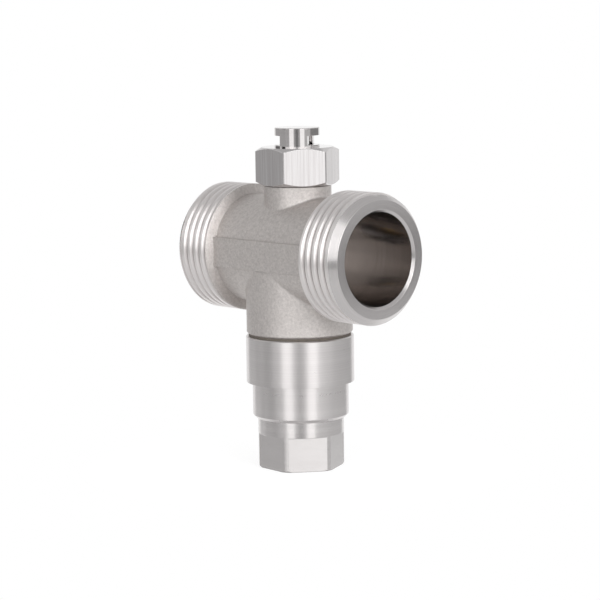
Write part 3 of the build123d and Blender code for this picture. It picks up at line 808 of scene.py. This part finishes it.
@dataclass
class ValveBody:
    """The cast tee: a barrel with a flat pad and two bosses, and a threaded end on each side."""

    axis_height: float = 55.8 * MM
    shoulder: float = 17.45 * MM
    bore_reach: float = 12.3 * MM
    bore_mouth: float = 28.95 * MM
    lower_socket: float = 10.7 * MM
    upper_socket: float = 6.8 * MM
    lower_face: float = 34.99 * MM
    upper_face: float = 72.88 * MM
    right_groove: float = 17.888 * MM
    left_groove: float = 15.975 * MM
    pad_plane: float = 14.30 * MM
    pad_half_height: float = 3.85 * MM
    pad_lift: float = 0.25 * MM
    pad_slack: float = 0.02 * MM
    weld: float = 0.0002 * MM
    sharp_angle: float = math.radians(32)

    def finish_at(self, place: Vector) -> Finish:
        """Says which finish a face has.

        Args:
            place: the middle of the face.

        Returns:
            The finish.
        """
        outward = abs(place.x)
        from_pipe = math.hypot(place.y, place.z - self.axis_height)
        from_upright = math.hypot(place.x, place.y)
        in_bore = from_pipe < self.bore_reach
        if outward > self.shoulder:
            if in_bore and outward < self.bore_mouth:
                return Finish.BORED
            return Finish.THREADED if not in_bore and outward < PipeEnd.chamfer_at else Finish.TURNED
        if place.z < self.lower_face or place.z > self.upper_face:
            return Finish.FACED
        if in_bore:
            return Finish.BORED
        socket = self.lower_socket if place.z < self.axis_height else self.upper_socket
        return Finish.FACED if from_upright < socket else Finish.CAST

    def raise_pad(self, shape: bmesh.types.BMesh) -> None:
        """Moves the flat pad's face a little outwards.

        Args:
            shape: the whole valve body, which this changes.
        """
        for vert in shape.verts:
            on_plane = abs(vert.co.y + self.pad_plane) < self.pad_slack
            if on_plane and abs(vert.co.z - self.axis_height) < self.pad_half_height:
                vert.co.y -= self.pad_lift

    def build(self, plain: bpy.types.Mesh) -> bpy.types.Mesh:
        """Builds the body with its raised pad and its two threads.

        Args:
            plain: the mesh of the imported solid, which stays as it is.

        Returns:
            The new mesh.
        """
        shape = bmesh.new()
        shape.from_mesh(plain)
        bmesh.ops.remove_doubles(shape, verts=shape.verts[:], dist=self.weld)
        self.raise_pad(shape)
        for side, groove in ((1, self.right_groove), (-1, self.left_groove)):
            PipeEnd(PipeThread(groove), side, self.axis_height).build(shape)
        bmesh.ops.recalc_face_normals(shape, faces=shape.faces[:])
        shape.normal_update()
        for face in shape.faces:
            face.smooth = True
            face.material_index = self.finish_at(face.calc_center_median()).value
        for edge in shape.edges:
            edge.smooth = edge.is_manifold and edge.calc_face_angle() < self.sharp_angle
        loose = sum(not edge.is_manifold for edge in shape.edges)
        mesh = bpy.data.meshes.new("valve_body_threaded")
        shape.to_mesh(mesh)
        shape.free()
        if "custom_normal" in mesh.attributes:
            mesh.attributes.remove(mesh.attributes["custom_normal"])
        log.info("valve body: %d faces, %d open edges", len(mesh.polygons), loose)
        return mesh

    def finishes(self) -> tuple[object, ...]:
        """Returns the body's finishes in the order of its material slots."""
        return (
            CastNickel(),
            TurnedMetal("turned_end", TurningAxis.PIPE, self.axis_height, roughness=(0.20, 0.27),
                        anisotropy=0.6, edge_radius=0.15 * MM),
            TurnedMetal("bored_pipe", TurningAxis.PIPE, self.axis_height, dark=(0.30, 0.274, 0.262),
                        light=(0.64, 0.59, 0.56), roughness=(0.15, 0.25), mark_height=0.003 * MM),
            TurnedMetal("faced_boss", TurningAxis.UPRIGHT, 0.0, roughness=(0.18, 0.26)),
            # The cut thread's roots are painted darker below the given radius, as painted shade.
            TurnedMetal("cut_thread", TurningAxis.PIPE, self.axis_height, dark=(0.80, 0.765, 0.755),
                        light=(0.92, 0.885, 0.875), roughness=(0.32, 0.38), anisotropy=0.9,
                        edge_radius=0.02 * MM, shade_below=16.12 * MM),
        )

    def dress(self, frame: dict) -> bpy.types.Object:
        """Puts the threaded body in place of its plain solid.


        Returns:
            The new object.
        """
        mesh = self.build(frame["nodes"]["valve_body"].data)
        body = bpy.data.objects.new("valve_body_threaded", mesh)
        bpy.context.scene.collection.objects.link(body)
        for finish in self.finishes():
            mesh.materials.append(finish.build())
        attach(body, "valve")
        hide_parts("valve_body")
        return body


def paint(frame: dict, finish: bpy.types.Material, *nodes: str) -> None:
    """Gives nodes of the frame a finish through their material slots.

    Args:
        finish: the material.
        *nodes: the nodes' names.
    """
    for name in nodes:
        for place in frame["nodes"][name].material_slots:
            place.material = finish
        log.info("%s: %s", name, finish.name)


@dataclass
class AirInlet:
    """The hexagon with its vented cap; the poppet that lets air in below them is dressed with the inner
    parts.
    """

    def dress(self, frame: dict) -> None:
        """Gives each of the inlet's pieces its finish.
        """
        paint(frame, DrawnHexagon().build(), "breaker_body")
        cap = TurnedMetal("turned_cap", TurningAxis.UPRIGHT, 0.0, roughness=(0.07, 0.11), haze=0.3)
        paint(frame, cap.build(), "breaker_cap")


@dataclass
class DrainCartridge:
    """The collar and the nozzle with its wrench flats; the parts that open the drain are dressed with the
    inner parts.
    """

    def dress(self, frame: dict) -> None:
        """Gives each of the cartridge's pieces its finish.
        """
        satin = TurnedMetal("satin_collar", TurningAxis.UPRIGHT, 0.0, roughness=(0.25, 0.33), feed=0.2 * MM,
                            edge_radius=0.04 * MM)
        paint(frame, satin.build(), "cartridge_body")
        bright = TurnedMetal("milled_nozzle", TurningAxis.UPRIGHT, 0.0, roughness=(0.22, 0.29),
                             edge_radius=0.22 * MM)
        paint(frame, bright.build(), "drain_nozzle")


@dataclass
class InnerParts:
    """Gaskets, seals, springs and the bare brass that works inside the valve."""

    def dress(self, frame: dict) -> None:
        """Gives the parts their finishes by what they are made of.
        """
        brass = TurnedMetal("bare_brass", TurningAxis.UPRIGHT, 0.0, dark=(0.66, 0.46, 0.20),
                            light=(0.78, 0.58, 0.28), roughness=(0.22, 0.34))
        paint(frame, brass.build(), "breaker_poppet", "wax_capsule", "shutter", "seat_insert")
        steel = TurnedMetal("spring_steel", TurningAxis.UPRIGHT, 0.0, dark=(0.46, 0.46, 0.47),
                            light=(0.60, 0.60, 0.61), roughness=(0.2, 0.3))
        paint(frame, steel.build(), "breaker_circlip", "breaker_spring", "strainer_plate", "strainer_circlip",
              "overtravel_spring", "wax_piston", "return_spring", "seat_circlip")
        fibre = SoftMaterial("pressed_fibre", (0.115, 0.100, 0.086), (0.190, 0.166, 0.142), (0.62, 0.8),
                             0.12 * MM, 0.02 * MM)
        paint(frame, fibre.build(), "breaker_gasket", "cartridge_gasket")
        rubber = SoftMaterial("moulded_rubber", (0.012, 0.012, 0.013), (0.028, 0.028, 0.029), (0.45, 0.6),
                              0.10 * MM, 0.004 * MM)
        paint(frame, rubber.build(), "breaker_seal", "shutter_seal", "seat_o_ring", "nozzle_o_ring")
        plastic = SoftMaterial("white_acetal", (0.74, 0.73, 0.70), (0.82, 0.81, 0.78), (0.32, 0.42),
                               0.14 * MM, 0.003 * MM)
        paint(frame, plastic.build(), "breaker_guide", "capsule_guide")


@dataclass(frozen=True)
class Panel:
    """A soft box, a flag or a wall of the light tent: one plain level with soft edges.

    Its sides are in degrees right of the camera, its foot and its top in degrees above the table.
    """

    name: str
    left: float
    right: float
    foot: float
    top: float
    level: float

    def cover(self, graph: Graph, across: object, rise: object, blur: float) -> bpy.types.NodeSocket:
        """Returns how much of the panel lies in a direction.

        Args:
            graph: the world's nodes.
            across: the direction's degrees right of the camera.
            rise: its degrees above the table.
            blur: how far the panel's edges fade, in degrees to each side.

        Returns:
            The socket, from 0 off the panel to 1 on it.
        """
        half_height = (self.top - self.foot) / 2
        above = graph.math("ABSOLUTE", graph.math("SUBTRACT", rise, (self.foot + self.top) / 2))
        upright = graph.step(above, half_height + blur, half_height - blur)
        half_width = (self.right - self.left) / 2
        if half_width >= HALF_TURN:
            return upright
        beside = graph.math("SUBTRACT", across, (self.left + self.right) / 2)
        beside = graph.math("ABSOLUTE", graph.math("WRAP", beside, HALF_TURN, -HALF_TURN))
        return graph.math("MULTIPLY", upright, graph.step(beside, half_width + blur, half_width - blur))


@dataclass
class Studio:
    """A white photo tent: soft boxes left and right of the camera, and a white wall behind the object.

    A later panel hangs in front of the ones before it. The wall's sides and top, as polished metal sees
    them, are in degrees too.
    """

    camera_place: tuple[float, float, float] = (0.42565, -0.39983, 0.12073)
    camera_right: tuple[float, float, float] = (0.68616829, 0.72730123, -0.01435264)
    camera_up: tuple[float, float, float] = (-0.08597259, 0.10067078, 0.99119832)
    lens: float = 137.11
    sensor: float = 36.0
    camera_side: float = math.radians(-43.2)
    cloth: float = 0.55
    blur: float = 1.5
    panels: tuple[Panel, ...] = (
        Panel("table", -180, 180, -95, -26, 0.7),
        Panel("apron", -180, 180, -26, -11, 0.6),
        Panel("back apron", 72, 248, -26, -11, 0.95),
        Panel("left low", -142, -40, -11, 0, 0.45),
        Panel("right low", 72, 142, -11, 0, 0.27),
        Panel("camera low", -17, 15, -11, 0, 0.4),
        Panel("camera shade", -8, 6, -11, 0, 0.2),
        Panel("left flag", -142, -98, 0, 10, 0.2),
        Panel("left flag head", -142, -112, 10, 26, 0.15),
        Panel("left strip", -112, -85, 10, 44, 1.05),
        Panel("left strip foot", -98, -85, 0, 10, 1.0),
        Panel("left gap", -85, -62, 0, 44, 0.0),
        Panel("left wing", -62, -40, 0, 26, 1.5),
        Panel("left box", -40, -17, 0, 44, 2.1),
        Panel("left box middle", -40, -17, 10, 26, 3.4),
        Panel("left skirt", -40, -17, -26, 0, 1.2),
        Panel("camera front", -17, 15, 0, 26, 1.8),
        Panel("camera head", -17, 15, 26, 44, 1.0),
        Panel("camera dark", -8, 6, 0, 26, 0.8),
        Panel("right box", 15, 52, 0, 26, 2.0),
        Panel("right box middle", 15, 52, 10, 26, 4.0),
        Panel("right box head", 15, 38, 26, 44, 2.3),
        Panel("right skirt", 15, 38, -26, 0, 1.25),
        Panel("right wing", 52, 72, 0, 26, 1.7),
        Panel("right end", 72, 142, 0, 26, 0.9),
        Panel("back wall", 142, 218, -26, 10, 1.0),
        Panel("back wall head", 142, 218, 10, 44, 0.8),
    )
    wall_side: float = 142.1
    wall_top: float = 9.8
    floor_radius: float = 60 * MM
    floor_sides: int = 96
    floor_drop: float = 0.03 * MM
    floor_glow: float = 0.8
    floor_grey: float = 0.3
    floor_fade: tuple[float, float] = (36 * MM, 58.2 * MM)

    def dress(self) -> None:
        """Sets up the camera, the tent and the floor."""
        self.place_camera()
        self.fill_world()
        self.lay_floor()

    def place_camera(self) -> None:
        """Adds the camera with the photograph's place, aim and lens."""
        data = bpy.data.cameras.new("camera")
        data.lens = self.lens
        data.sensor_width = self.sensor
        camera = bpy.data.objects.new("camera", data)
        right, up = Vector(self.camera_right), Vector(self.camera_up)
        turn = Matrix((right, up, right.cross(up))).transposed().to_4x4()
        camera.matrix_world = Matrix.Translation(self.camera_place) @ turn
        bpy.context.scene.collection.objects.link(camera)
        bpy.context.scene.camera = camera

    def fill_world(self) -> None:
        """Makes the tent: its panels light the object, and what lies behind it is plain white."""
        world = bpy.data.worlds.new("tent")
        world.use_nodes = True
        bpy.context.scene.world = world
        graph = Graph(world.node_tree)
        toward = graph.add("SeparateXYZ", Vector=graph.add("TexCoord").outputs["Generated"]).outputs
        rise = graph.math("DEGREES", graph.math("ARCSINE", toward["Z"]))
        angle = graph.math("ARCTAN2", toward["Y"], toward["X"])
        turned = graph.math("SUBTRACT", angle, self.camera_side)
        across = graph.math("DEGREES", graph.math("WRAP", turned, math.pi, -math.pi))
        level = self.cloth
        for panel in self.panels:
            level = graph.blend(panel.cover(graph, across, rise, self.blur), level, panel.level)
        path = graph.add("LightPath").outputs
        beyond = graph.math("GREATER_THAN", graph.math("ABSOLUTE", across), self.wall_side)
        wall = graph.math("MULTIPLY", beyond, graph.math("LESS_THAN", rise, self.wall_top))
        mirrored = graph.math("MAXIMUM", path["Is Glossy Ray"], path["Is Transmission Ray"])
        white = graph.math("MAXIMUM", path["Is Camera Ray"], graph.math("MULTIPLY", mirrored, wall))
        ground = graph.add("Background", Color=WHITE, Strength=graph.blend(white, level, 1.0))
        graph.add("OutputWorld", Surface=ground.outputs[0])
        log.info("light tent: %d panels", len(self.panels))

    def lay_floor(self) -> None:
        """Lays the round white floor that keeps the valve's shadow."""
        shape = bmesh.new()
        bmesh.ops.create_circle(shape, cap_ends=True, segments=self.floor_sides, radius=self.floor_radius)
        mesh = bpy.data.meshes.new("floor")
        shape.to_mesh(mesh)
        shape.free()
        floor = bpy.data.objects.new("floor", mesh)
        floor.location.z = -self.floor_drop
        bpy.context.scene.collection.objects.link(floor)
        mesh.materials.append(self.floor_material())
        log.info("floor: %s", floor.active_material.name)

    def floor_material(self) -> bpy.types.Material:
        """Builds the floor's white, which fades into the plain ground and is clear to polished metal.

        Returns:
            The material.
        """
        material, graph = new_material("white_floor")
        path = graph.add("LightPath").outputs
        seen = graph.math("MAXIMUM", path["Is Camera Ray"], path["Is Transmission Ray"])
        glow = graph.add("Emission", Color=WHITE, Strength=graph.math("MULTIPLY", seen, self.floor_glow))
        matt = graph.add("BsdfDiffuse", Color=(self.floor_grey, self.floor_grey, self.floor_grey, 1.0))
        shaded = graph.join("AddShader", {}, (0, 1), (glow.outputs[0], matt.outputs[0])).outputs[0]
        plain = graph.add("Emission", Color=WHITE, Strength=seen).outputs[0]
        fade = graph.step(graph.vector("LENGTH", graph.place()).outputs["Value"], *self.floor_fade)
        clear = graph.add("BsdfTransparent").outputs[0]
        surface = graph.either(path["Is Glossy Ray"], graph.either(fade, shaded, plain), clear)
        graph.add("OutputMaterial", Surface=surface)
        return material


def main() -> None:
    """Builds the classes in order and reports each piece."""
    logging.basicConfig(level=logging.INFO, format="%(message)s")
    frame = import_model()
    ValveBody().dress(frame)
    AirInlet().dress(frame)
    DrainCartridge().dress(frame)
    InnerParts().dress(frame)
    Studio().dress()
    bpy.context.scene.view_settings.view_transform = "Standard"


if __name__ == "__main__":
    main()
